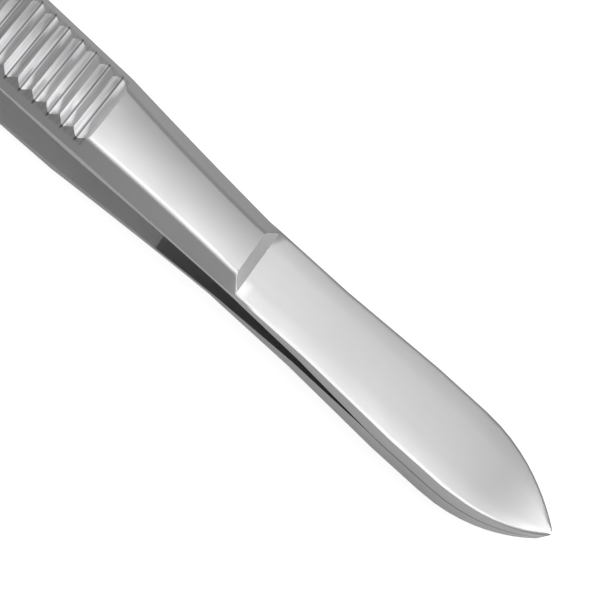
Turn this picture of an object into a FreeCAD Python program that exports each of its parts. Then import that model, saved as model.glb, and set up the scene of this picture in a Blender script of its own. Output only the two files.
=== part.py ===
import FreeCAD, Part
import os
from math import atan2, pi
import Sketcher
from FreeCAD import Rotation, Vector

# Leaf-bladed splinter forceps: two like arms, one the mirror image of the
# other, welded face to face at the heel and closed at the tips.
# Lengths in millimetres. An arm is drawn with X running back from the tip to
# the heel, Y across it and Z = 0 in the plane where the two arms meet, and is
# then turned round so that the tips point along +X.

SIZES = [
    ("overallLength", 115.0),
    # leaf blade, measured back from the tip
    ("bladeLength", 33.1),
    ("bladeWidth", 6.82),
    ("bladeRearHeight", 1.39),
    ("bladeCornerRadius", 0.8),
    ("leafSwell", 0.39),
    ("leafLength", 10.45),
    ("leafStraight", 5.3),
    ("swellLength", 9.5),
    ("crestLength", 11.25),
    ("crestHeight", 1.64),
    ("tipRadius", 0.45),
    ("tipHeight", 0.88),
    ("edgeBreakWidth", 0.30),
    ("edgeBreakDrop", 0.12),
    # shoulder, a short slope from the neck down to the blade
    ("shoulderStep", 0.41),
    ("shoulderRun", 1.02),
    ("shoulderWidth", 6.66),
    ("shoulderHeight", 1.85),
    ("shoulderBevelWidth", 1.23),
    ("shoulderBevelDrop", 0.34),
    # neck, rising and widening to the grip
    ("neckLength", 15.36),
    ("neckMiddleWidth", 7.2),
    ("neckMiddleHeight", 2.34),
    ("neckMiddleBevelWidth", 1.38),
    ("neckMiddleBevelDrop", 0.42),
    # grip, a flat plateau between two side bevels
    ("gripLength", 30.38),
    ("gripWidth", 8.1),
    ("gripHeight", 2.98),
    ("bevelWidth", 1.33),
    ("bevelDrop", 0.70),
    # cross grooves of the grip, counted from the front
    ("groovePitch", 1.36),
    ("grooveCount", 19),
    ("grooveDepth", 0.26),
    ("grooveLand", 0.1),
    # bend, and the heel where the arms are welded together
    ("bendWidth", 7.3),
    ("bendHeight", 2.16),
    ("weldLength", 11.0),
    ("weldWidth", 6.1),
    ("weldHeight", 1.38),
    ("heelWidth", 5.4),
    ("heelHeight", 1.30),
    ("heelCornerRadius", 1.2),
    # inner faces: closed along the jaws, bowed apart behind them
    ("jawLength", 16.75),
    ("creaseBack", 5.54),
    ("creaseGap", 1.25),
    ("bowLead", 7.38),
    ("bowGap", 1.95),
]

# places along the arm, as distances from the tip
SHOULDER = "Sizes.bladeLength + Sizes.shoulderStep"
FOOT = SHOULDER + " - Sizes.shoulderRun"
GRIP_FRONT = SHOULDER + " + Sizes.neckLength"
NECK_MIDDLE = SHOULDER + " + Sizes.neckLength / 2"
GRIP_REAR = GRIP_FRONT + " + Sizes.gripLength"
WELD = "Sizes.overallLength - Sizes.weldLength"
BEND = "(%s + %s) / 2" % (GRIP_REAR, WELD)
HEEL = "Sizes.overallLength"
SWELL_FRONT = "Sizes.leafLength + Sizes.leafStraight"
SWELL_REAR = SWELL_FRONT + " + Sizes.swellLength"

CLEAR = 2.0     # how far a cutting outline runs past the metal
TOUCH = 0.001   # how close two places count as the same

doc = FreeCAD.newDocument("splinter_forceps")
sheet = doc.addObject("Spreadsheet::Sheet", "Sizes")
for row, (alias, value) in enumerate(SIZES, start=1):
    sheet.set("A%d" % row, alias)
    sheet.set("B%d" % row, str(value))
    sheet.setAlias("B%d" % row, alias)
doc.recompute()


def value(expression):
    """What an expression on the sheet gives now."""
    return float(sheet.evalExpression(expression))


def origin(body, role):
    for feature in body.Origin.OriginFeatures:
        if feature.Role == role:
            return feature
    raise ValueError("no origin feature " + role)


def newSketch(body, name, role):
    sketch = body.newObject("Sketcher::SketchObject", name)
    sketch.AttachmentSupport = [(origin(body, role), "")]
    sketch.MapMode = "FlatFace"
    return sketch


def dimension(sketch, kind, place, expression):
    """Adds a dimension whose size comes from the sheet."""
    index = sketch.addConstraint(Sketcher.Constraint(kind, *place, value(expression)))
    sketch.setExpression("Constraints[%d]" % index, expression)


def constrain(sketch, rules):
    for rule in rules:
        sketch.addConstraint(Sketcher.Constraint(*rule))


def placePoint(sketch, curve, end, x, y):
    """Dimensions the end of a curve from the sketch's origin, or puts it on the X axis."""
    dimension(sketch, "DistanceX", (-1, 1, curve, end), x)
    if y:
        dimension(sketch, "DistanceY", (-1, 1, curve, end), y)
    else:
        constrain(sketch, [("PointOnObject", curve, end, -1)])


def polygon(sketch, points):
    """A closed outline of straight lines, each corner tied to the sheet."""
    corners = [Vector(value(x), value(y) if y else 0, 0) for x, y in points]
    for index, corner in enumerate(corners):
        sketch.addGeometry(Part.LineSegment(corner, corners[(index + 1) % len(corners)]), False)
    for index, (x, y) in enumerate(points):
        constrain(sketch, [("Coincident", (index - 1) % len(points), 2, index, 1)])
        placePoint(sketch, index, 1, x, y)


def arc(centre, radius, first, last):
    return Part.ArcOfCircle(Part.Circle(centre, Vector(0, 0, 1), radius), first, last)


def cutAcross(body, name, sketch):
    """A pocket from the side plane, right through the arm both ways."""
    pocket = body.newObject("PartDesign::Pocket", name)
    pocket.Profile = sketch
    pocket.Type = "ThroughAll"
    pocket.Midplane = True
    return pocket


def leafOutline(body):
    """The blade from above: a tip arc, two leaf arcs, a swell and rounded rear corners."""
    length = value("Sizes.bladeLength")
    half = value("Sizes.bladeWidth / 2")
    leafHalf = half + value("Sizes.leafSwell")
    corner = value("Sizes.bladeCornerRadius")
    start = value("Sizes.leafLength")
    tipRadius = value("Sizes.tipRadius")
    swellFront = value(SWELL_FRONT)
    swellRear = value(SWELL_REAR)
    reach = start - tipRadius
    leafRadius = (reach ** 2 + leafHalf ** 2 - tipRadius ** 2) / (2 * (leafHalf - tipRadius))
    turn = pi - atan2(leafRadius - leafHalf, reach)

    def point(x, y):
        return Vector(x, y, 0)

    sketch = newSketch(body, "LeafOutline", "XY_Plane")
    curves = [
        arc(point(start, leafHalf - leafRadius), leafRadius, pi / 2, turn),
        arc(point(tipRadius, 0), tipRadius, turn, 2 * pi - turn),
        arc(point(start, leafRadius - leafHalf), leafRadius, 2 * pi - turn, 3 * pi / 2),
        Part.LineSegment(point(start, -leafHalf), point(swellFront, -leafHalf)),
        Part.LineSegment(point(swellFront, -leafHalf), point(swellRear, -half)),
        Part.LineSegment(point(swellRear, -half), point(length - corner, -half)),
        arc(point(length - corner, corner - half), corner, 3 * pi / 2, 2 * pi),
        Part.LineSegment(point(length, corner - half), point(length, half - corner)),
        arc(point(length - corner, half - corner), corner, 0, pi / 2),
        Part.LineSegment(point(length - corner, half), point(swellRear, half)),
        Part.LineSegment(point(swellRear, half), point(swellFront, leafHalf)),
        Part.LineSegment(point(swellFront, leafHalf), point(start, leafHalf)),
    ]
    for curve in curves:
        sketch.addGeometry(curve, False)
    leafA, tip, leafB, fullB, swellB, sideB, cornerB, rear, cornerA, sideA, swellA, fullA = range(12)
    constrain(sketch, [
        ("Tangent", leafA, 2, tip, 1),
        ("Tangent", tip, 2, leafB, 1),
        ("Tangent", leafB, 2, fullB, 1),
        ("Coincident", fullB, 2, swellB, 1),
        ("Coincident", swellB, 2, sideB, 1),
        ("Tangent", sideB, 2, cornerB, 1),
        ("Tangent", cornerB, 2, rear, 1),
        ("Tangent", rear, 2, cornerA, 1),
        ("Tangent", cornerA, 2, sideA, 1),
        ("Coincident", sideA, 2, swellA, 1),
        ("Coincident", swellA, 2, fullA, 1),
        ("Tangent", fullA, 2, leafA, 1),
        ("Horizontal", sideA),
        ("Horizontal", sideB),
        ("Horizontal", fullA),
        ("Vertical", rear),
        ("Symmetric", sideA, 2, sideB, 1, -1),
        ("Symmetric", fullA, 1, fullB, 2, -1),
        ("Symmetric", fullA, 2, fullB, 1, -1),
        ("Equal", cornerA, cornerB),
        ("PointOnObject", tip, 3, -1),
    ])
    dimension(sketch, "Radius", (tip,), "Sizes.tipRadius")
    dimension(sketch, "DistanceX", (-1, 1, tip, 3), "Sizes.tipRadius")
    dimension(sketch, "DistanceX", (-1, 1, fullA, 2), "Sizes.leafLength")
    dimension(sketch, "DistanceX", (-1, 1, fullA, 1), SWELL_FRONT)
    dimension(sketch, "DistanceX", (-1, 1, sideA, 2), SWELL_REAR)
    dimension(sketch, "DistanceX", (-1, 1, rear, 1), "Sizes.bladeLength")
    dimension(sketch, "Radius", (cornerA,), "Sizes.bladeCornerRadius")
    dimension(sketch, "DistanceY", (sideB, 1, sideA, 2), "Sizes.bladeWidth")
    dimension(sketch, "DistanceY", (sideA, 2, fullA, 1), "Sizes.leafSwell")
    return sketch


def thinningOutline(body):
    """What is ground off the blade: over a straight rise to the crest and an arc down to the tip."""
    tip = Vector(0, value("Sizes.tipHeight"), 0)
    crest = Vector(value("Sizes.crestLength"), value("Sizes.crestHeight"), 0)
    rear = Vector(value("Sizes.bladeLength"), value("Sizes.bladeRearHeight"), 0)
    above = crest.y + CLEAR
    slope = (rear - crest).normalize()
    inward = Vector(slope.y, -slope.x, 0)
    chord = tip - crest
    radius = chord.Length ** 2 / (2 * chord.dot(inward))
    centre = crest + inward * radius
    toCrest = crest - centre
    toTip = tip - centre
    corners = [rear, Vector(rear.x + CLEAR, rear.y, 0), Vector(rear.x + CLEAR, above, 0),
               Vector(-CLEAR, above, 0), Vector(-CLEAR, tip.y, 0), tip]
    sketch = newSketch(body, "ThinningOutline", "XZ_Plane")
    sketch.addGeometry(Part.LineSegment(crest, rear), False)
    for first, second in zip(corners, corners[1:]):
        sketch.addGeometry(Part.LineSegment(first, second), False)
    sketch.addGeometry(arc(centre, radius, atan2(toCrest.y, toCrest.x), atan2(toTip.y, toTip.x)), False)
    rise, behind, back, over, front, ahead, thinning = range(7)
    constrain(sketch, [
        ("Coincident", rise, 2, behind, 1),
        ("Coincident", behind, 2, back, 1),
        ("Coincident", back, 2, over, 1),
        ("Coincident", over, 2, front, 1),
        ("Coincident", front, 2, ahead, 1),
        ("Coincident", ahead, 2, thinning, 2),
        ("Tangent", thinning, 1, rise, 1),
        ("Horizontal", behind),
        ("Vertical", back),
        ("Horizontal", over),
        ("Vertical", front),
        ("Horizontal", ahead),
        ("PointOnObject", thinning, 2, -2),
    ])
    placePoint(sketch, rise, 2, "Sizes.bladeLength", "Sizes.bladeRearHeight")
    placePoint(sketch, rise, 1, "Sizes.crestLength", "Sizes.crestHeight")
    dimension(sketch, "DistanceY", (-1, 1, thinning, 2), "Sizes.tipHeight")
    dimension(sketch, "DistanceX", (behind, 1, behind, 2), "%g" % CLEAR)
    dimension(sketch, "DistanceX", (ahead, 1, ahead, 2), "%g" % CLEAR)
    dimension(sketch, "DistanceY", (-1, 1, over, 2), "Sizes.crestHeight + %g" % CLEAR)
    return sketch


def addBlade(body):
    blade = body.newObject("PartDesign::Pad", "Blade")
    blade.Profile = leafOutline(body)
    blade.Length = value("Sizes.crestHeight")
    blade.setExpression("Length", "Sizes.crestHeight")
    cutAcross(body, "BladeThinning", thinningOutline(body))
    doc.recompute()
    ground = body.Tip
    edgeBreak = body.newObject("PartDesign::Chamfer", "BladeEdgeBreak")
    edgeBreak.Base = (ground, outerFaceRim(ground.Shape))
    edgeBreak.ChamferType = "Two distances"
    edgeBreak.FlipDirection = False
    edgeBreak.Size = value("Sizes.edgeBreakWidth")
    edgeBreak.Size2 = value("Sizes.edgeBreakDrop")
    edgeBreak.setExpression("Size", "Sizes.edgeBreakWidth")
    edgeBreak.setExpression("Size2", "Sizes.edgeBreakDrop")


def outerFaceRim(shape):
    """The edges round the blade's outer face, apart from the straight one at its rear."""
    outer = [face for face in shape.Faces if outward(face).z > 0.9]
    rim = []
    for index, edge in enumerate(shape.Edges, start=1):
        uses = sum(1 for face in outer for other in face.Edges if other.isSame(edge))
        atRear = edge.BoundBox.XMin > shape.BoundBox.XMax - TOUCH
        if uses == 1 and not atRear:
            rim.append("Edge%d" % index)
    return rim


def outward(face):
    first, last, low, high = face.ParameterRange
    return face.normalAt((first + last) / 2, (low + high) / 2)


def armSection(body, name, place, width, bevel, height, drop):
    """One cross-section: an inner face, two upright edges, two bevels and the plateau."""
    half = value(width + " / 2")
    flat = half - value(bevel)
    top = value(height)
    edge = top - value(drop)
    corners = [Vector(-half, 0, 0), Vector(half, 0, 0), Vector(half, edge, 0),
               Vector(flat, top, 0), Vector(-flat, top, 0), Vector(-half, edge, 0)]
    sketch = newSketch(body, name, "YZ_Plane")
    sketch.setExpression("AttachmentOffset.Base.z", place)
    for index, corner in enumerate(corners):
        sketch.addGeometry(Part.LineSegment(corner, corners[(index + 1) % 6]), False)
    for index in range(6):
        constrain(sketch, [("Coincident", index, 2, (index + 1) % 6, 1)])
    inner, rightEdge, rightBevel, plateau, leftBevel, leftEdge = range(6)
    constrain(sketch, [
        ("Vertical", rightEdge),
        ("PointOnObject", inner, 1, -1),
        ("Symmetric", inner, 1, inner, 2, -2),
        ("Symmetric", plateau, 2, plateau, 1, -2),
        ("Symmetric", leftBevel, 2, rightBevel, 1, -2),
    ])
    dimension(sketch, "DistanceX", (inner, 1, inner, 2), width)
    dimension(sketch, "DistanceX", (plateau, 2, plateau, 1), "%s - 2 * %s" % (width, bevel))
    dimension(sketch, "DistanceY", (-1, 1, plateau, 1), height)
    dimension(sketch, "DistanceY", (rightBevel, 1, rightBevel, 2), drop)
    return sketch


def addLoft(body, name, sections, ruled):
    loft = body.newObject("PartDesign::AdditiveLoft", name)
    loft.Profile = sections[0]
    loft.Sections = sections[1:]
    loft.Ruled = ruled


def addShank(body):
    """Shoulder, neck, grip, bend and heel, lofted through cross-sections."""
    foot = armSection(body, "FootSection", FOOT, "Sizes.shoulderWidth",
                      "Sizes.shoulderBevelWidth", "Sizes.shoulderHeight", "Sizes.shoulderBevelDrop")
    shoulder = armSection(body, "ShoulderSection", SHOULDER, "Sizes.shoulderWidth",
                          "Sizes.shoulderBevelWidth", "Sizes.shoulderHeight", "Sizes.shoulderBevelDrop")
    neck = armSection(body, "NeckSection", NECK_MIDDLE, "Sizes.neckMiddleWidth",
                      "Sizes.neckMiddleBevelWidth", "Sizes.neckMiddleHeight", "Sizes.neckMiddleBevelDrop")
    gripFront = armSection(body, "GripFrontSection", GRIP_FRONT, "Sizes.gripWidth",
                           "Sizes.bevelWidth", "Sizes.gripHeight", "Sizes.bevelDrop")
    gripRear = armSection(body, "GripRearSection", GRIP_REAR, "Sizes.gripWidth",
                          "Sizes.bevelWidth", "Sizes.gripHeight", "Sizes.bevelDrop")
    bend = armSection(body, "BendSection", BEND, "Sizes.bendWidth",
                      "Sizes.bevelWidth", "Sizes.bendHeight", "Sizes.bevelDrop")
    weld = armSection(body, "WeldSection", WELD, "Sizes.weldWidth",
                      "Sizes.bevelWidth", "Sizes.weldHeight", "Sizes.bevelDrop")
    heel = armSection(body, "HeelSection", HEEL, "Sizes.heelWidth",
                      "Sizes.bevelWidth", "Sizes.heelHeight", "Sizes.bevelDrop")
    addLoft(body, "Shoulder", [foot, shoulder], True)
    addLoft(body, "Neck", [shoulder, neck, gripFront], False)
    addLoft(body, "Grip", [gripFront, gripRear], True)
    addLoft(body, "Bend", [gripRear, bend, weld], False)
    addLoft(body, "Heel", [weld, heel], True)


def cutShoulderSlope(body):
    """The slope from the neck's plateau down to the blade, ground straight across."""
    sketch = newSketch(body, "SlopeOutline", "XZ_Plane")
    over = "Sizes.shoulderHeight + %g" % CLEAR
    polygon(sketch, [
        (FOOT, "Sizes.bladeRearHeight"),
        (SHOULDER, "Sizes.shoulderHeight"),
        (SHOULDER, over),
        (FOOT, over),
    ])
    cutAcross(body, "ShoulderSlope", sketch)


def cutInnerFace(body):
    """The bow between jaws and weld, with the crease where the inner face turns to the blade."""
    sketch = newSketch(body, "BowOutline", "XZ_Plane")
    polygon(sketch, [
        ("Sizes.jawLength", ""),
        (WELD, ""),
        (GRIP_REAR, "Sizes.bowGap"),
        (GRIP_FRONT + " + Sizes.bowLead", "Sizes.bowGap"),
        (SHOULDER + " + Sizes.creaseBack", "Sizes.creaseGap"),
    ])
    cutAcross(body, "Bow", sketch)


def cutGrooves(body):
    """V grooves straight across the grip, running out on both bevels."""
    sketch = newSketch(body, "GrooveOutline", "XZ_Plane")
    near = GRIP_FRONT + " + Sizes.grooveLand / 2"
    far = GRIP_FRONT + " + Sizes.groovePitch - Sizes.grooveLand / 2"
    over = "Sizes.gripHeight + %g" % CLEAR
    polygon(sketch, [
        (near, "Sizes.gripHeight"),
        (GRIP_FRONT + " + Sizes.groovePitch / 2", "Sizes.gripHeight - Sizes.grooveDepth"),
        (far, "Sizes.gripHeight"),
        (far, over),
        (near, over),
    ])
    groove = cutAcross(body, "FirstGroove", sketch)
    doc.recompute()
    row = body.newObject("PartDesign::LinearPattern", "Grooves")
    row.Originals = [groove]
    row.Direction = (origin(body, "X_Axis"), [""])
    row.Mode = "Spacing"
    row.Offset = value("Sizes.groovePitch")
    row.Occurrences = int(value("Sizes.grooveCount"))
    row.setExpression("Offset", "Sizes.groovePitch")
    row.setExpression("Occurrences", "Sizes.grooveCount")
    body.Tip = row


def roundHeel(body):
    """Rounds the heel's two upright corners."""
    doc.recompute()
    shank = body.Tip
    upright = []
    for index, edge in enumerate(shank.Shape.Edges, start=1):
        box = edge.BoundBox
        if box.XMin > shank.Shape.BoundBox.XMax - TOUCH and box.YLength < TOUCH:
            upright.append("Edge%d" % index)
    fillet = body.newObject("PartDesign::Fillet", "HeelCorners")
    fillet.Base = (shank, upright)
    fillet.Radius = value("Sizes.heelCornerRadius")
    fillet.setExpression("Radius", "Sizes.heelCornerRadius")


def volumeNow(body):
    doc.recompute()
    return body.Shape.Volume


def makeArm():
    body = doc.addObject("PartDesign::Body", "UpperArm")
    body.Label = "upper_arm"
    addBlade(body)
    addShank(body)
    cutShoulderSlope(body)
    cutInnerFace(body)
    uncut = volumeNow(body)
    cutGrooves(body)
    if not volumeNow(body) < uncut:
        raise RuntimeError("the grooves cut nothing")
    roundHeel(body)
    body.Placement.Rotation = Rotation(Vector(0, 0, 1), 180)
    body.setExpression("Placement.Base.x", "Sizes.overallLength / 2")
    body.setExpression("Placement.Base.z", "Sizes.gripHeight")
    return body


def makeMirrorArm(arm):
    """The lower arm: the upper one turned over about the plane where the two meet."""
    mirror = doc.addObject("Part::Mirroring", "LowerArm")
    mirror.Label = "lower_arm"
    mirror.Source = arm
    mirror.Normal = Vector(0, 0, 1)
    mirror.setExpression("Base.z", "Sizes.gripHeight")
    return mirror


upperArm = makeArm()
lowerArm = makeMirrorArm(upperArm)
doc.recompute()

for item in doc.Objects:
    if "Invalid" in item.State or "Error" in item.State:
        raise RuntimeError("%s failed: %s" % (item.Name, item.State))

os.makedirs("parts", exist_ok=True)
for piece in (upperArm, lowerArm):
    shape = piece.Shape
    if shape.isNull() or not shape.isValid() or len(shape.Solids) != 1:
        raise RuntimeError("%s is not one valid solid" % piece.Label)
    shape.exportStep("parts/%s.step" % piece.Label)
    print("%s: %.1f mm3, %d faces" % (piece.Label, shape.Volume, len(shape.Faces)))
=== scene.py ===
import random
from math import atan2, cos, radians, sin, sqrt

import bmesh
import bpy
from mathutils import Matrix, Vector


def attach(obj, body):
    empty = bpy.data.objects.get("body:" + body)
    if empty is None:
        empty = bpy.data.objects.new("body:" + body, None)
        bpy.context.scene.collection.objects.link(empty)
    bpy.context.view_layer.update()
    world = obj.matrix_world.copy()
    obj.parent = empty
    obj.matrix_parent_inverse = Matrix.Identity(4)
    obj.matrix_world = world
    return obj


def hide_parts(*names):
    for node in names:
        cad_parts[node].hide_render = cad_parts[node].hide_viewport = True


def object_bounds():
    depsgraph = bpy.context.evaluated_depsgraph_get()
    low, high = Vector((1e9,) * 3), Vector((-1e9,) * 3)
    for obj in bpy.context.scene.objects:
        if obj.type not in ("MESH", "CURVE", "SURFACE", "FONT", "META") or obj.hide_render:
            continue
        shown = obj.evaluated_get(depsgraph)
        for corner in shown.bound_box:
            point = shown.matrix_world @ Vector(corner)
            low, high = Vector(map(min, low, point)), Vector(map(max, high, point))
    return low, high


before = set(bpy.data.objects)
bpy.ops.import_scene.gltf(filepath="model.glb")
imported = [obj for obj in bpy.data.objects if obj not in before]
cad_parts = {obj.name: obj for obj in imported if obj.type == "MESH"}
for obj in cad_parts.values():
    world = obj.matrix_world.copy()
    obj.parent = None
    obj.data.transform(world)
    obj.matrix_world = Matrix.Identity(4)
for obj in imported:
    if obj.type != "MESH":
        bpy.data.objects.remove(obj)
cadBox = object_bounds()
print("frame loaded")

mm = 0.001
near = 1e-6   # in metres: places closer than this count as one
scene = bpy.context.scene
scene.view_settings.view_transform = "Standard"

# the photograph's camera: above the near side, turned so that the tips point down to the right
view = {
    "place": Vector((-15.75, -89.20, 170.74)) * mm,
    "aim": Vector((29.777, 0.804, 2.98)) * mm,
    "roll": 42.238,
    "lens": 152.21,
    "sensor": 36,
    "clipStart": 0.01,
}

# one arm, in mm: x is given as a distance back from the tip, z from the plane where the arms meet
length = round((cadBox[1][0] - cadBox[0][0]) / mm, 2)
arm = {
    "length": length,
    "meeting": round((cadBox[0][2] + cadBox[1][2]) / 2 / mm, 2),   # height of the meeting plane
    "tipRadius": 0.45,
    "tipHeight": 0.88,
    "leafLength": 10.45,
    "leafHalf": 3.80,
    "swellFront": 15.75,
    "swellRear": 25.25,
    "bladeHalf": 3.41,
    "bladeRearHeight": 1.39,
    "crest": 11.25,
    "crestHeight": 1.64,
    "edgeBreak": 0.30,
    "edgeDrop": 0.06,
    "bladeCrown": 0.009,
    "foot": 32.49,
    # place, half width, half of the flat, height, drop of the side bevel, crown of the flat
    "shoulder": (33.51, 3.43, 2.12, 1.85, 0.60, 0.05),
    "neckMiddle": (41.19, 3.68, 2.22, 2.34, 0.66, 0.06),
    "gripFront": (48.87, 3.97, 2.64, 2.93, 0.68, 0.08),
    "gripMiddle": (62.0, 4.15, 2.80, 2.93, 0.68, 0.07),
    "gripRear": (79.25, 4.05, 2.72, 2.93, 0.68, 0.07),
    "bend": (91.6, 3.65, 2.32, 2.16, 0.70, 0.03),
    "weld": (104.0, 3.05, 1.72, 1.38, 0.70, 0.0),
    "heel": (length, 2.70, 1.37, 1.30, 0.70, 0.0),
    # the inner face: closed along the jaw, open from there to the weld
    "jaw": 16.75,
    "crease": 39.05,
    "creaseGap": 1.25,
    "bowFront": 56.25,
    "bowGap": 1.95,
    "flatEdgeRound": 0.26,
    "edgeRound": 0.05,
    "heelCorner": 1.1,
    "sharpFrom": 21,   # degrees between two faces
}

# cross grooves, filed one after another, in mm
groove = {
    "first": arm["gripFront"][0],
    "pitch": 1.36,
    "count": 19,
    "depth": 0.25,
    "overlap": 0.06,   # of neighbours, so that the ridges between them are sharp
    "wander": 0.03,
    "uneven": 0.012,
    "turn": 0.4,       # degrees
    "seed": 7,
}

# the three-cornered file that cuts a groove, in mm
file = {
    "long": 12,
    "stand": 1.2,      # how far it stands out of the groove
    "point": 0.03,     # width of its lower edge, as a share
    "cuts": 9,
    "rough": 0.005,
    "bow": ((0.0, 1.0), (1.2, 0.82), (2.4, 0.27)),   # place across the arm, share of the crown followed there
}

# the bar before it is shaped, in mm
bar = {
    "width": 2,
    "height": 1,
    "columns": (0.35, 0.7),   # where it is cut lengthwise
    # where it is cut across, besides the arm's own places: closer together where the blade curves more
    "cuts": [0.05, 0.18, 0.4, 0.75, 1.2, 1.8, 2.5, 3.3, 4.2, 5.2, 6.3, 7.5, 8.8, 12.2, 14.0, 18.0, 20.4,
             22.8, 28.0, 30.4, 31.6, 35.4, 37.3, 43.1, 45.0, 47.0, 52.0, 68.0, 74.0, 83.0, 87.0, 96.0,
             100.0, 109.0],
    "tipEnd": 0.004,          # the very end takes the section from here, so that it has a width
    "crownShare": 0.75,       # height of the crown halfway to the flat's edge
    "cutThreshold": 1e-7,
}


# every place where the bar is cut across, from the tip back
def stations():
    sections = ("shoulder", "neckMiddle", "gripFront", "gripMiddle", "gripRear", "bend", "weld")
    turns = ("leafLength", "swellFront", "swellRear", "foot", "crease", "bowFront")
    return sorted(bar["cuts"] + [arm[name][0] for name in sections] + [arm[name] for name in turns])


def along(distance):
    return (arm["length"] / 2 - distance) * mm


def between(first, last, share):
    return tuple(a + (b - a) * share for a, b in zip(first, last))


# section at a distance, on the smooth curve through three sections
def curveThrough(a, b, c, distance):
    first = (distance - b[0]) * (distance - c[0]) / ((a[0] - b[0]) * (a[0] - c[0]))
    middle = (distance - a[0]) * (distance - c[0]) / ((b[0] - a[0]) * (b[0] - c[0]))
    last = (distance - a[0]) * (distance - b[0]) / ((c[0] - a[0]) * (c[0] - b[0]))
    return tuple(first * p + middle * q + last * r for p, q, r in zip(a, b, c))


# the leaf: a round tip, an arc out to the full width, then a slow narrowing to the rear
def bladeHalfWidth(distance):
    tip, half = arm["tipRadius"], arm["leafHalf"]
    reach = arm["leafLength"] - tip
    radius = (reach ** 2 + half ** 2 - tip ** 2) / (2 * (half - tip))
    joint = tip * (1 - cos(atan2(radius - half, reach)))
    if distance < joint:
        return sqrt(tip ** 2 - (tip - distance) ** 2)
    if distance < arm["leafLength"]:
        return half - radius + sqrt(radius ** 2 - (arm["leafLength"] - distance) ** 2)
    if distance < arm["swellFront"]:
        return half
    share = min(1, (distance - arm["swellFront"]) / (arm["swellRear"] - arm["swellFront"]))
    return half + (arm["bladeHalf"] - half) * share


# the blade rises a little to its crest and is ground down in a curve from there to the tip
def bladeHeight(distance):
    slope = (arm["crestHeight"] - arm["bladeRearHeight"]) / (arm["shoulder"][0] - arm["crest"])
    rise = slope * (arm["crest"] - distance)
    if distance > arm["crest"]:
        return arm["crestHeight"] + rise
    bow = (arm["crestHeight"] + slope * arm["crest"] - arm["tipHeight"]) / arm["crest"] ** 2
    return arm["crestHeight"] + rise - bow * (arm["crest"] - distance) ** 2


def innerHeight(distance):
    points = [(0, 0), (arm["jaw"], 0), (arm["crease"], arm["creaseGap"]), (arm["bowFront"], arm["bowGap"]),
              (arm["gripRear"][0], arm["bowGap"]), (arm["weld"][0], 0), (arm["length"], 0)]
    for (d0, z0), (d1, z1) in zip(points, points[1:]):
        if distance <= d1:
            return z0 + (z1 - z0) * (distance - d0) / (d1 - d0)
    return points[-1][1]


# half width, half flat, height, drop and crown of an arm at a distance from the tip
def section(distance):
    if distance <= arm["foot"]:
        half = bladeHalfWidth(distance)
        edge = min(arm["edgeBreak"], 0.5 * half)   # never more than half of the thin tip
        crown = arm["bladeCrown"] * half / arm["leafHalf"]
        return half, half - edge, bladeHeight(distance), arm["edgeDrop"], crown
    if distance < arm["gripFront"][0]:
        return curveThrough(arm["shoulder"], arm["neckMiddle"], arm["gripFront"], distance)[1:]
    for first, last in ((arm["gripFront"], arm["gripMiddle"]), (arm["gripMiddle"], arm["gripRear"])):
        if distance <= last[0]:
            return between(first, last, (distance - first[0]) / (last[0] - first[0]))[1:]
    if distance < arm["weld"][0]:
        return curveThrough(arm["gripRear"], arm["bend"], arm["weld"], distance)[1:]
    first, last = arm["weld"], arm["heel"]
    return between(first, last, (distance - first[0]) / (last[0] - first[0]))[1:]


def deselect():
    if bpy.context.mode != "OBJECT":
        bpy.ops.object.mode_set(mode="OBJECT")
    bpy.ops.object.select_all(action="DESELECT")


def selectOnly(piece):
    deselect()
    piece.select_set(True)
    bpy.context.view_layer.objects.active = piece


# selects, in edit mode, the corners with these numbers
def pick(mesh, chosen):
    edit = bmesh.from_edit_mesh(mesh)
    for vert in edit.verts:
        vert.select = vert.index in chosen
    edit.select_flush(True)
    edit.select_flush(False)
    bmesh.update_edit_mesh(mesh, loop_triangles=False, destructive=False)


# selects, in edit mode, the edges whose two ends suit
def pickEdges(mesh, choose):
    edit = bmesh.from_edit_mesh(mesh)
    for item in list(edit.faces) + list(edit.edges) + list(edit.verts):
        item.select = False
    for edge in edit.edges:
        if choose(edge.verts[0].co, edge.verts[1].co):
            edge.select_set(True)
    bmesh.update_edit_mesh(mesh, loop_triangles=False, destructive=False)


def applyModifier(piece, kind, **settings):
    modifier = piece.modifiers.new(kind.lower(), kind)
    for key, setting in settings.items():
        setattr(modifier, key, setting)
    bpy.context.view_layer.objects.active = piece
    bpy.ops.object.modifier_apply(modifier=modifier.name)


# moves one ring of the bar to the arm's section there
def shapeStation(mesh, distance):
    half, flat, top, drop, crown = section(max(distance, bar["tipEnd"]))
    ring = {}
    for vert in bmesh.from_edit_mesh(mesh).verts:
        if abs(vert.co.x - along(distance)) < near:
            key = round(abs(vert.co.y) / mm, 2), vert.co.z > bar["height"] / 2 * mm
            ring.setdefault(key, set()).add(vert.index)
    lift = innerHeight(distance)
    inner, outer = bar["columns"]
    shape = ((bar["width"] / 2, half, top - drop), (outer, flat, top),
             (inner, flat / 2, top + bar["crownShare"] * crown), (0.0, 0.0, top + crown))
    for reach, width, height in shape:
        upper, lower = ring[reach, True], ring[reach, False]
        if reach:
            pick(mesh, upper | lower)
            bpy.ops.transform.resize(value=(1, width / reach, 1), center_override=(0, 0, 0))
        pick(mesh, upper)
        bpy.ops.transform.translate(value=(0, 0, (height - bar["height"]) * mm))
        pick(mesh, lower)
        bpy.ops.transform.translate(value=(0, 0, lift * mm))


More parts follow.
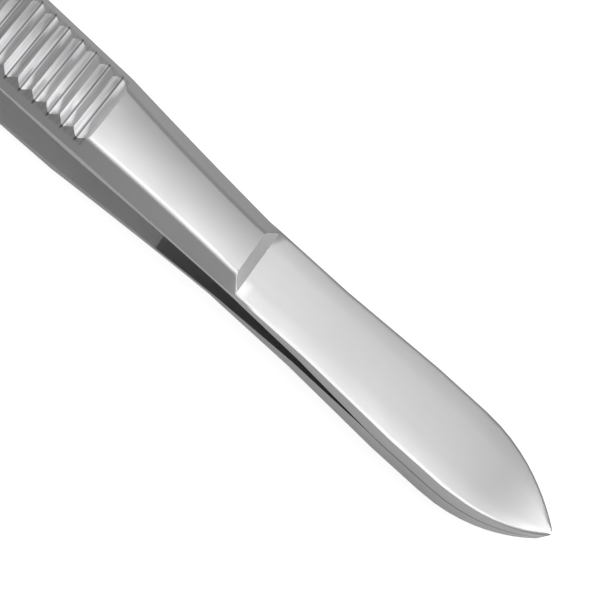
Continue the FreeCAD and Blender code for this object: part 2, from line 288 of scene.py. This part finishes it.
# a square bar, cut at every station and drawn out to the arm's form
def modelBar():
    deselect()
    bpy.ops.mesh.primitive_cube_add(size=1, location=(0, 0, 0))
    piece = bpy.context.object
    bpy.ops.object.mode_set(mode="EDIT")
    bpy.ops.transform.resize(value=(arm["length"] * mm, bar["width"] * mm, bar["height"] * mm))
    bpy.ops.transform.translate(value=(0, 0, bar["height"] * mm / 2))
    close = bar["cutThreshold"]
    for distance in stations():
        bpy.ops.mesh.select_all(action="SELECT")
        bpy.ops.mesh.bisect(plane_co=(along(distance), 0, 0), plane_no=(1, 0, 0), threshold=close)
    inner, outer = bar["columns"]
    for reach in (0, inner, -inner, outer, -outer):
        bpy.ops.mesh.select_all(action="SELECT")
        bpy.ops.mesh.bisect(plane_co=(0, reach * mm, 0), plane_no=(0, 1, 0), threshold=close)
    for distance in [0.0] + stations() + [arm["length"]]:
        shapeStation(piece.data, distance)
    bpy.ops.object.mode_set(mode="OBJECT")
    return piece


# an edge that runs along the arm, on either edge of its flat, behind the blade
def onFlatEdge(a, b):
    shortest = 0.2 * mm
    if abs(a.x - b.x) <= shortest or max(a.x, b.x) > along(arm["shoulder"][0]) + near:
        return False
    for co in (a, b):
        flat, top = section(arm["length"] / 2 - co.x / mm)[1:3]
        if abs(abs(co.y) - flat * mm) > 2 * near or abs(co.z - top * mm) > 2 * near:
            return False
    return True


# an upright edge at a corner of the heel
def onHeelCorner(a, b):
    side = (arm["heel"][1] - 0.1) * mm
    return min(a.x, b.x) < along(arm["length"]) + near and abs(a.y - b.y) < near and abs(a.y) > side


# round heel corners, soft long edges of the flats and a fine break on every other edge
def roundEdges(piece):
    bpy.context.view_layer.objects.active = piece
    bpy.ops.object.mode_set(mode="EDIT")
    bpy.ops.mesh.select_mode(type="EDGE")
    pickEdges(piece.data, onHeelCorner)
    bpy.ops.mesh.bevel(offset=arm["heelCorner"] * mm, segments=6)
    pickEdges(piece.data, onFlatEdge)
    bpy.ops.mesh.bevel(offset=arm["flatEdgeRound"] * mm, segments=4)
    bpy.ops.mesh.select_mode(type="VERT")
    bpy.ops.object.mode_set(mode="OBJECT")
    applyModifier(piece, "BEVEL", width=arm["edgeRound"] * mm, segments=2, limit_method="ANGLE",
                  angle_limit=radians(14))


# one file, lying across the grip, its point at the bottom of a groove
def modelFile(centre, depth, turn, seed):
    deselect()
    bpy.ops.mesh.primitive_cube_add(size=1, location=(0, 0, 0))
    piece = bpy.context.object
    width = (groove["pitch"] + groove["overlap"]) * mm * (1 + file["stand"] / depth)
    tall = depth + file["stand"]
    bpy.ops.object.mode_set(mode="EDIT")
    bpy.ops.transform.resize(value=(width, file["long"] * mm, tall * mm))
    bpy.ops.mesh.select_all(action="DESELECT")
    pick(piece.data, {v.index for v in bmesh.from_edit_mesh(piece.data).verts if v.co.z < 0})
    bpy.ops.transform.resize(value=(file["point"], 1, 1), center_override=(0, 0, 0))
    bpy.ops.mesh.select_all(action="SELECT")
    bpy.ops.mesh.subdivide(number_cuts=file["cuts"])
    for reach, share in file["bow"]:
        verts = bmesh.from_edit_mesh(piece.data).verts
        pick(piece.data, {v.index for v in verts if abs(abs(v.co.y) - reach * mm) < 10 * near})
        bpy.ops.transform.translate(value=(0, 0, arm["gripMiddle"][5] * share * mm))
    bpy.ops.mesh.select_all(action="SELECT")
    bpy.ops.transform.vertex_random(offset=file["rough"] * mm, seed=seed)
    bpy.ops.transform.rotate(value=turn, orient_axis="Z", center_override=(0, 0, 0))
    height = arm["gripFront"][3] - depth + tall / 2
    bpy.ops.transform.translate(value=(along(centre), 0, height * mm))
    bpy.ops.object.mode_set(mode="OBJECT")
    return piece


# the grooves, each a little different in place, depth and direction
def cutGrooves(piece):
    rng = random.Random(groove["seed"])
    for index in range(groove["count"]):
        centre = groove["first"] + (index + 0.5) * groove["pitch"] + rng.uniform(-1, 1) * groove["wander"]
        depth = groove["depth"] + rng.uniform(-1, 1) * groove["uneven"]
        turn = radians(rng.uniform(-1, 1) * groove["turn"])
        cutter = modelFile(centre, depth, turn, index)
        applyModifier(piece, "BOOLEAN", operation="DIFFERENCE", solver="MANIFOLD", object=cutter)
        bpy.data.objects.remove(cutter)


# puts an arm on its side of the meeting plane: side is 1 for the upper arm and -1 for the lower one
def seatArm(piece, side):
    selectOnly(piece)
    bpy.ops.object.mode_set(mode="EDIT")
    bpy.ops.mesh.select_all(action="SELECT")
    bpy.ops.transform.resize(value=(1, 1, side), center_override=(0, 0, 0))
    bpy.ops.transform.translate(value=(0, 0, arm["meeting"] * mm))
    bpy.ops.mesh.normals_make_consistent(inside=False)
    bpy.ops.object.mode_set(mode="OBJECT")
    selectOnly(piece)
    bpy.ops.object.shade_smooth_by_angle(angle=radians(arm["sharpFrom"]))
    applyModifier(piece, "WEIGHTED_NORMAL", keep_sharp=True, weight=80)


upperArm = modelBar()
upperArm.name = "upperArmSteel"
roundEdges(upperArm)
cutGrooves(upperArm)
selectOnly(upperArm)
bpy.ops.object.duplicate()
lowerArm = bpy.context.object
lowerArm.name = "lowerArmSteel"
seatArm(upperArm, 1)
seatArm(lowerArm, -1)
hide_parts("upper_arm")
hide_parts("lower_arm")
for piece in (upperArm, lowerArm):
    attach(piece, "root")
    print(piece.name, len(piece.data.polygons), "faces", [round(v / mm, 2) for v in piece.dimensions])
print("arms modelled")

# the steel: what its two finishes share, and each finish
finish = {
    "grainScale": 1600.0,
    "grainStretch": (0.12, 1.0, 1.0),
    "grainShare": 0.35,
    "cloudScale": 160.0,
    "cloudShare": 0.65,
    "bump": 0.06,
    "bumpDistance": 0.02,            # mm
    "fileScale": 5200.0,
    "fileStretch": (1.0, 0.04, 0.04),
    "fileMark": (0.68, 0.68, 0.69, 1),
    # colour of the painted shade in the groove valleys and the seam between the blades
    "paintedShade": (0.16, 0.16, 0.17, 1),
}
satin = {
    "name": "satinSteel",
    "bright": (0.66, 0.66, 0.665, 1),
    "dull": (0.625, 0.625, 0.63, 1),
    "roughLow": 0.29,
    "roughHigh": 0.34,
}
asForged = {
    "name": "dullSteel",
    "bright": (0.80, 0.80, 0.805, 1),
    "dull": (0.74, 0.74, 0.745, 1),
    "roughLow": 0.72,
    "roughHigh": 0.80,
}

# where shade is painted: dark lines in the valleys of the grooves, and in the seam between the closed blades
paintedShade = {
    "line": (0.02, 0.085),           # half width of a valley's line: full and faded, in pitches
    "gripEnd": 0.1,                  # mm over which the grip's ends fade
    "gripHeight": (2.5, 2.62),       # mm over the meeting plane, where the grooves start to count
    "seam": (0.03, 0.10),            # half width of the seam's line: full and faded, in mm
    "seamEnd": (-1, 0.5),            # mm behind the jaw's rear end: the seam starts to fade, and is gone
}


# a shader node group with its sockets, its input node and its output node
def newGroup(name, inputs, outputs):
    group = bpy.data.node_groups.new(name, "ShaderNodeTree")
    for label, kind, number in inputs:
        socket = group.interface.new_socket(label, in_out="INPUT", socket_type=kind)
        if number is not None:
            socket.default_value = number
    for label, kind in outputs:
        group.interface.new_socket(label, in_out="OUTPUT", socket_type=kind)
    return group, group.nodes.new("NodeGroupInput"), group.nodes.new("NodeGroupOutput")


def addNode(tree, kind, **settings):
    node = tree.nodes.new(kind)
    for key, setting in settings.items():
        setattr(node, key, setting)
    return node


def addRange(tree, value, low, high, **settings):
    node = addNode(tree, "ShaderNodeMapRange", **settings)
    node.inputs["From Min"].default_value = low
    node.inputs["From Max"].default_value = high
    tree.links.new(value, node.inputs["Value"])
    return node.outputs["Result"]


# a math node on one or two things, each a socket or a number
def calculate(tree, operation, *given):
    node = addNode(tree, "ShaderNodeMath", operation=operation)
    for socket, thing in zip(node.inputs, given):
        if isinstance(thing, (int, float)):
            socket.default_value = thing
        else:
            tree.links.new(thing, socket)
    return node.outputs["Value"]


# fine lines left by a belt or a file: a stretched noise, as a shade and a height
def makeGrainGroup():
    group, start, end = newGroup("beltGrain",
                                 [("Vector", "NodeSocketVector", None), ("Scale", "NodeSocketFloat", 1000.0)],
                                 [("Shade", "NodeSocketFloat"), ("Height", "NodeSocketFloat")])
    noise = addNode(group, "ShaderNodeTexNoise")
    noise.inputs["Detail"].default_value = 3
    noise.inputs["Roughness"].default_value = 0.6
    group.links.new(start.outputs["Vector"], noise.inputs["Vector"])
    group.links.new(start.outputs["Scale"], noise.inputs["Scale"])
    group.links.new(addRange(group, noise.outputs["Fac"], 0.3, 0.7), end.inputs["Shade"])
    group.links.new(noise.outputs["Fac"], end.inputs["Height"])
    return group


# slow changes of polish over the surface
def makeCloudGroup():
    group, start, end = newGroup("polishClouds",
                                 [("Vector", "NodeSocketVector", None), ("Scale", "NodeSocketFloat", 100.0)],
                                 [("Cloud", "NodeSocketFloat")])
    noise = addNode(group, "ShaderNodeTexNoise")
    noise.inputs["Detail"].default_value = 2
    group.links.new(start.outputs["Vector"], noise.inputs["Vector"])
    group.links.new(start.outputs["Scale"], noise.inputs["Scale"])
    cloud = addRange(group, noise.outputs["Fac"], 0.35, 0.65, interpolation_type="SMOOTHSTEP")
    group.links.new(cloud, end.inputs["Cloud"])
    return group


# a mask of the painted shade in the groove valleys and the seam between the blades, and a mask of the grooved
# part of the grip for the file's marks
def makePaintedShadeGroup():
    group, start, end = newGroup("paintedGrooveShade", [("Vector", "NodeSocketVector", None)],
                                 [("PaintedShade", "NodeSocketFloat"), ("Grip", "NodeSocketFloat")])
    split = addNode(group, "ShaderNodeSeparateXYZ")
    group.links.new(start.outputs["Vector"], split.inputs["Vector"])
    x, z = split.outputs["X"], split.outputs["Z"]

    def step(value, low, high):
        return addRange(group, value, low, high, interpolation_type="SMOOTHSTEP")

    front, rear = along(groove["first"]), along(groove["first"] + groove["count"] * groove["pitch"])
    fade = paintedShade["gripEnd"] * mm
    full, faded = paintedShade["line"]
    # painted shade: a dark line down the valley of every groove
    turns = calculate(group, "DIVIDE", calculate(group, "SUBTRACT", front, x), groove["pitch"] * mm)
    apart = calculate(group, "SUBTRACT", calculate(group, "FRACT", turns), 0.5)
    lines = step(calculate(group, "ABSOLUTE", apart), faded, full)
    behind, before = step(x, front + fade, front - fade), step(x, rear - fade, rear + fade)
    grip = calculate(group, "MULTIPLY", behind, before)
    outward = calculate(group, "ABSOLUTE", calculate(group, "SUBTRACT", z, arm["meeting"] * mm))
    low, high = paintedShade["gripHeight"]
    shown = calculate(group, "MULTIPLY", grip, step(outward, low * mm, high * mm))
    # painted shade along the seam between the closed blades
    full, faded = paintedShade["seam"]
    starts, gone = paintedShade["seamEnd"]
    jaw = step(x, along(arm["jaw"] + gone), along(arm["jaw"] + starts))
    seam = calculate(group, "MULTIPLY", step(outward, faded * mm, full * mm), jaw)
    dark = calculate(group, "MAXIMUM", calculate(group, "MULTIPLY", lines, shown), seam)
    group.links.new(dark, end.inputs["PaintedShade"])
    group.links.new(shown, end.inputs["Grip"])
    return group


def makeSteel(look, grain, clouds, paintedShadeMask):
    steel = bpy.data.materials.new(look["name"])
    steel.use_nodes = True
    tree = steel.node_tree
    shader = tree.nodes["Principled BSDF"]
    shader.inputs["Metallic"].default_value = 1
    place = addNode(tree, "ShaderNodeTexCoord").outputs["Object"]

    # belt grain along the arm, over slow clouds of polish
    stretch = addNode(tree, "ShaderNodeMapping")
    stretch.inputs["Scale"].default_value = finish["grainStretch"]
    belt = addNode(tree, "ShaderNodeGroup", node_tree=grain)
    belt.inputs["Scale"].default_value = finish["grainScale"]
    polish = addNode(tree, "ShaderNodeGroup", node_tree=clouds)
    polish.inputs["Scale"].default_value = finish["cloudScale"]
    tree.links.new(place, stretch.inputs["Vector"])
    tree.links.new(stretch.outputs["Vector"], belt.inputs["Vector"])
    tree.links.new(place, polish.inputs["Vector"])
    cloud = calculate(tree, "MULTIPLY", polish.outputs["Cloud"], finish["cloudShare"])
    worn = calculate(tree, "MULTIPLY_ADD", belt.outputs["Shade"], finish["grainShare"], cloud)
    colour = addNode(tree, "ShaderNodeMix", data_type="RGBA")
    colour.inputs["A"].default_value = look["dull"]
    colour.inputs["B"].default_value = look["bright"]
    tree.links.new(worn, colour.inputs["Factor"])

    # strokes of the file on the grip, and painted shade over all: dark lines in the groove valleys and the
    # seam between the blades
    filed = addNode(tree, "ShaderNodeMapping")
    filed.inputs["Scale"].default_value = finish["fileStretch"]
    strokes = addNode(tree, "ShaderNodeGroup", node_tree=grain)
    strokes.inputs["Scale"].default_value = finish["fileScale"]
    masks = addNode(tree, "ShaderNodeGroup", node_tree=paintedShadeMask)
    marked = addNode(tree, "ShaderNodeMix", data_type="RGBA", blend_type="MULTIPLY")
    marked.inputs["B"].default_value = finish["fileMark"]
    paintedShadeMix = addNode(tree, "ShaderNodeMix", data_type="RGBA")
    paintedShadeMix.inputs["B"].default_value = finish["paintedShade"]
    tree.links.new(place, filed.inputs["Vector"])
    tree.links.new(filed.outputs["Vector"], strokes.inputs["Vector"])
    tree.links.new(place, masks.inputs["Vector"])
    stroke = calculate(tree, "MULTIPLY", strokes.outputs["Shade"], masks.outputs["Grip"])
    tree.links.new(stroke, marked.inputs["Factor"])
    tree.links.new(colour.outputs["Result"], marked.inputs["A"])
    tree.links.new(marked.outputs["Result"], paintedShadeMix.inputs["A"])
    tree.links.new(masks.outputs["PaintedShade"], paintedShadeMix.inputs["Factor"])
    tree.links.new(paintedShadeMix.outputs["Result"], shader.inputs["Base Color"])

    rough = addNode(tree, "ShaderNodeMapRange")
    rough.inputs["To Min"].default_value = look["roughHigh"]
    rough.inputs["To Max"].default_value = look["roughLow"]
    tree.links.new(worn, rough.inputs["Value"])
    tree.links.new(rough.outputs["Result"], shader.inputs["Roughness"])
    bump = addNode(tree, "ShaderNodeBump")
    bump.inputs["Strength"].default_value = finish["bump"]
    bump.inputs["Distance"].default_value = finish["bumpDistance"] * mm
    tree.links.new(belt.outputs["Height"], bump.inputs["Height"])
    tree.links.new(bump.outputs["Normal"], shader.inputs["Normal"])
    return steel


groups = makeGrainGroup(), makeCloudGroup(), makePaintedShadeGroup()
steel = makeSteel(satin, *groups)
innerSteel = makeSteel(asForged, *groups)
for piece in list(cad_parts.values()) + [upperArm, lowerArm]:
    piece.data.materials.clear()
    piece.data.materials.append(steel)

# the inner faces behind the crease are left as forged
for piece, side in ((upperArm, 1), (lowerArm, -1)):
    piece.data.materials.append(innerSteel)
    for face in piece.data.polygons:
        if face.normal.z * side < -0.9 and face.center.x < along(arm["crease"]):
            face.material_index = 1
print("steel ready")

# lamps, in metres and watts
lamps = {
    "overheadPanel": {
        "place": (0.10, 0.165, 0.577), "aim": (0.03, 0, 0), "width": 0.80, "height": 0.25, "power": 1.2,
    },
    "sideSoftbox": {
        "place": (0.385, 0.20, 0.345), "aim": (0.0, 0, 0.005), "width": 0.10, "height": 0.10, "power": 0.16,
    },
}

# what the steel mirrors beside the lamps: a sky that darkens upward, white where the camera sees it itself
sky = {
    "low": (0.45, 0.45, 0.45, 1),
    "high": (0.28, 0.28, 0.28, 1),
    "rise": (0.15, 0.55),            # height of a direction, from level 0 to upright 1
    "seen": (1, 1, 1, 1),
}

# the table: lit as it lies, and a little brighter to the eye so that it reads as white
table = {
    "size": 3,
    "colour": (0.8, 0.8, 0.8, 1),
    "rough": 0.9,
    "shine": 0.1,
    "glowToCamera": 0.8,
    "glowInMirrors": 0.12,
}


def addLamp(name, place, aim, width, height, power):
    light = bpy.data.lights.new(name, "AREA")
    light.shape = "RECTANGLE"
    light.size = width
    light.size_y = height
    light.energy = power
    lamp = bpy.data.objects.new(name, light)
    scene.collection.objects.link(lamp)
    lamp.location = place
    lamp.rotation_euler = (Vector(aim) - Vector(place)).to_track_quat("-Z", "Y").to_euler()


def makeSky():
    world = bpy.data.worlds.new("studio")
    scene.world = world
    world.use_nodes = True
    tree = world.node_tree
    direction = addNode(tree, "ShaderNodeTexCoord")
    split = addNode(tree, "ShaderNodeSeparateXYZ")
    tree.links.new(direction.outputs["Generated"], split.inputs["Vector"])
    rise = addRange(tree, split.outputs["Z"], *sky["rise"], interpolation_type="SMOOTHSTEP")
    shade = addNode(tree, "ShaderNodeMix", data_type="RGBA")
    shade.inputs["A"].default_value = sky["low"]
    shade.inputs["B"].default_value = sky["high"]
    tree.links.new(rise, shade.inputs["Factor"])
    rays = addNode(tree, "ShaderNodeLightPath")
    backdrop = addNode(tree, "ShaderNodeMix", data_type="RGBA")
    backdrop.inputs["B"].default_value = sky["seen"]
    tree.links.new(shade.outputs["Result"], backdrop.inputs["A"])
    tree.links.new(rays.outputs["Is Camera Ray"], backdrop.inputs["Factor"])
    tree.links.new(backdrop.outputs["Result"], tree.nodes["Background"].inputs["Color"])


def makeTableWhite():
    paper = bpy.data.materials.new("floorWhite")
    paper.use_nodes = True
    tree = paper.node_tree
    shader = tree.nodes["Principled BSDF"]
    shader.inputs["Base Color"].default_value = table["colour"]
    shader.inputs["Roughness"].default_value = table["rough"]
    shader.inputs["Specular IOR Level"].default_value = table["shine"]
    shader.inputs["Emission Color"].default_value = (1, 1, 1, 1)
    rays = addNode(tree, "ShaderNodeLightPath")
    mirrored = calculate(tree, "MULTIPLY", rays.outputs["Is Glossy Ray"], table["glowInMirrors"])
    glow = calculate(tree, "MULTIPLY_ADD", rays.outputs["Is Camera Ray"], table["glowToCamera"], mirrored)
    tree.links.new(glow, shader.inputs["Emission Strength"])
    return paper


def addCamera():
    forward = (view["aim"] - view["place"]).normalized()
    level = Vector((1, 0, 0))
    level = (level - forward * level.dot(forward)).normalized()
    upright = level.cross(forward)
    turn = radians(view["roll"])
    right = level * cos(turn) + upright * sin(turn)
    up = upright * cos(turn) - level * sin(turn)
    camera = bpy.data.objects.new("camera", bpy.data.cameras.new("camera"))
    scene.collection.objects.link(camera)
    camera.matrix_world = Matrix((
        (right.x, up.x, -forward.x, view["place"].x),
        (right.y, up.y, -forward.y, view["place"].y),
        (right.z, up.z, -forward.z, view["place"].z),
        (0, 0, 0, 1),
    ))
    camera.data.sensor_fit = "HORIZONTAL"
    camera.data.sensor_width = view["sensor"]
    camera.data.lens = view["lens"]
    camera.data.clip_start = view["clipStart"]
    scene.camera = camera


for name, lamp in lamps.items():
    addLamp(name, **lamp)
makeSky()
bpy.ops.mesh.primitive_plane_add(size=table["size"], location=(0, 0, 0))
floor = bpy.context.object
floor.name = "floor"
floor.data.materials.append(makeTableWhite())
addCamera()
print("lamps, floor and camera placed")
